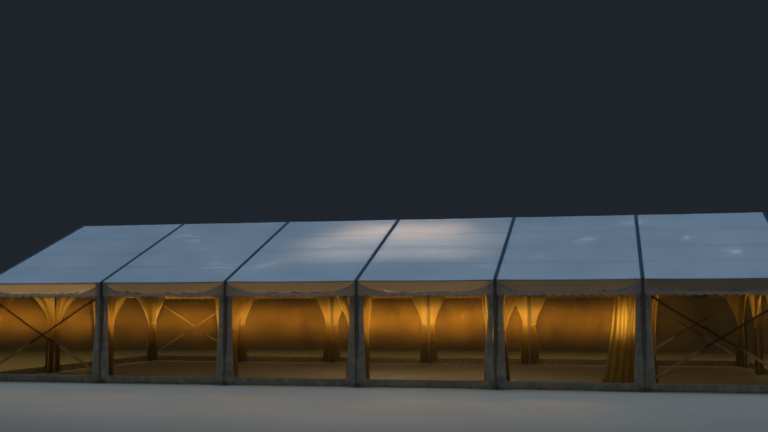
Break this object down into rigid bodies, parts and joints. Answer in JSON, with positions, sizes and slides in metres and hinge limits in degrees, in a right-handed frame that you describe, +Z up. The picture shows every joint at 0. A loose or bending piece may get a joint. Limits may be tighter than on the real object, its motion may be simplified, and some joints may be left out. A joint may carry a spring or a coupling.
{
  "type": "frame marquee",
  "caption": "Clear-span frame marquee with a low ridge roof, scalloped valances, window walls, braced end bays and tied curtains.",
  "frame": {"origin": "on the ground under the middle of the roof", "axes": "+X along the ridge to the right end as seen from the front, +Y from front to back, +Z up"},
  "size_m": [18.2, 9.07, 3.98],
  "materials": {
    "aluminium": "satin anodised",
    "steel": "galvanised, dull",
    "roof_vinyl": "coated fabric, satin",
    "window_vinyl": "clear soft vinyl with white borders",
    "curtain_cloth": "soft woven cloth"
  },
  "bodies": {
    "root": {"portal_frame_1": "aluminium", "portal_frame_2": "aluminium", "portal_frame_3": "aluminium", "portal_frame_4": "aluminium", "portal_frame_5": "aluminium", "portal_frame_6": "aluminium", "portal_frame_7": "aluminium", "front_eave_rail": "aluminium", "back_eave_rail": "aluminium", "ridge_purlin": "aluminium", "front_purlin": "aluminium", "back_purlin": "aluminium", "roof_sheet_1": "roof_vinyl", "roof_sheet_2": "roof_vinyl", "roof_sheet_3": "roof_vinyl", "roof_sheet_4": "roof_vinyl", "roof_sheet_5": "roof_vinyl", "roof_sheet_6": "roof_vinyl", "front_wall_1": "window_vinyl", "front_wall_2": "window_vinyl", "front_wall_3": "window_vinyl", "front_wall_4": "window_vinyl", "front_wall_5": "window_vinyl", "front_wall_6": "window_vinyl", "back_wall_1": "window_vinyl", "back_wall_2": "window_vinyl", "back_wall_3": "window_vinyl", "back_wall_4": "window_vinyl", "back_wall_5": "window_vinyl", "back_wall_6": "window_vinyl", "front_curtain_1": "curtain_cloth", "front_curtain_2": "curtain_cloth", "front_curtain_3": "curtain_cloth", "front_curtain_4": "curtain_cloth", "front_curtain_5": "curtain_cloth", "front_curtain_6": "curtain_cloth", "front_curtain_7": "curtain_cloth", "back_curtain_1": "curtain_cloth", "back_curtain_2": "curtain_cloth", "back_curtain_3": "curtain_cloth", "back_curtain_4": "curtain_cloth", "back_curtain_5": "curtain_cloth", "back_curtain_6": "curtain_cloth", "back_curtain_7": "curtain_cloth", "front_left_brace": "steel", "front_right_brace": "steel", "back_left_brace": "steel", "back_right_brace": "steel", "left_roof_brace": "steel", "right_roof_brace": "steel", "left_gable_posts": "aluminium", "left_gable_wall": "window_vinyl", "left_gable_triangle": "roof_vinyl", "left_gable_curtains": "curtain_cloth", "right_gable_posts": "aluminium", "right_gable_wall": "window_vinyl", "right_gable_triangle": "roof_vinyl", "right_gable_curtains": "curtain_cloth"}
  },
  "joints": []
}
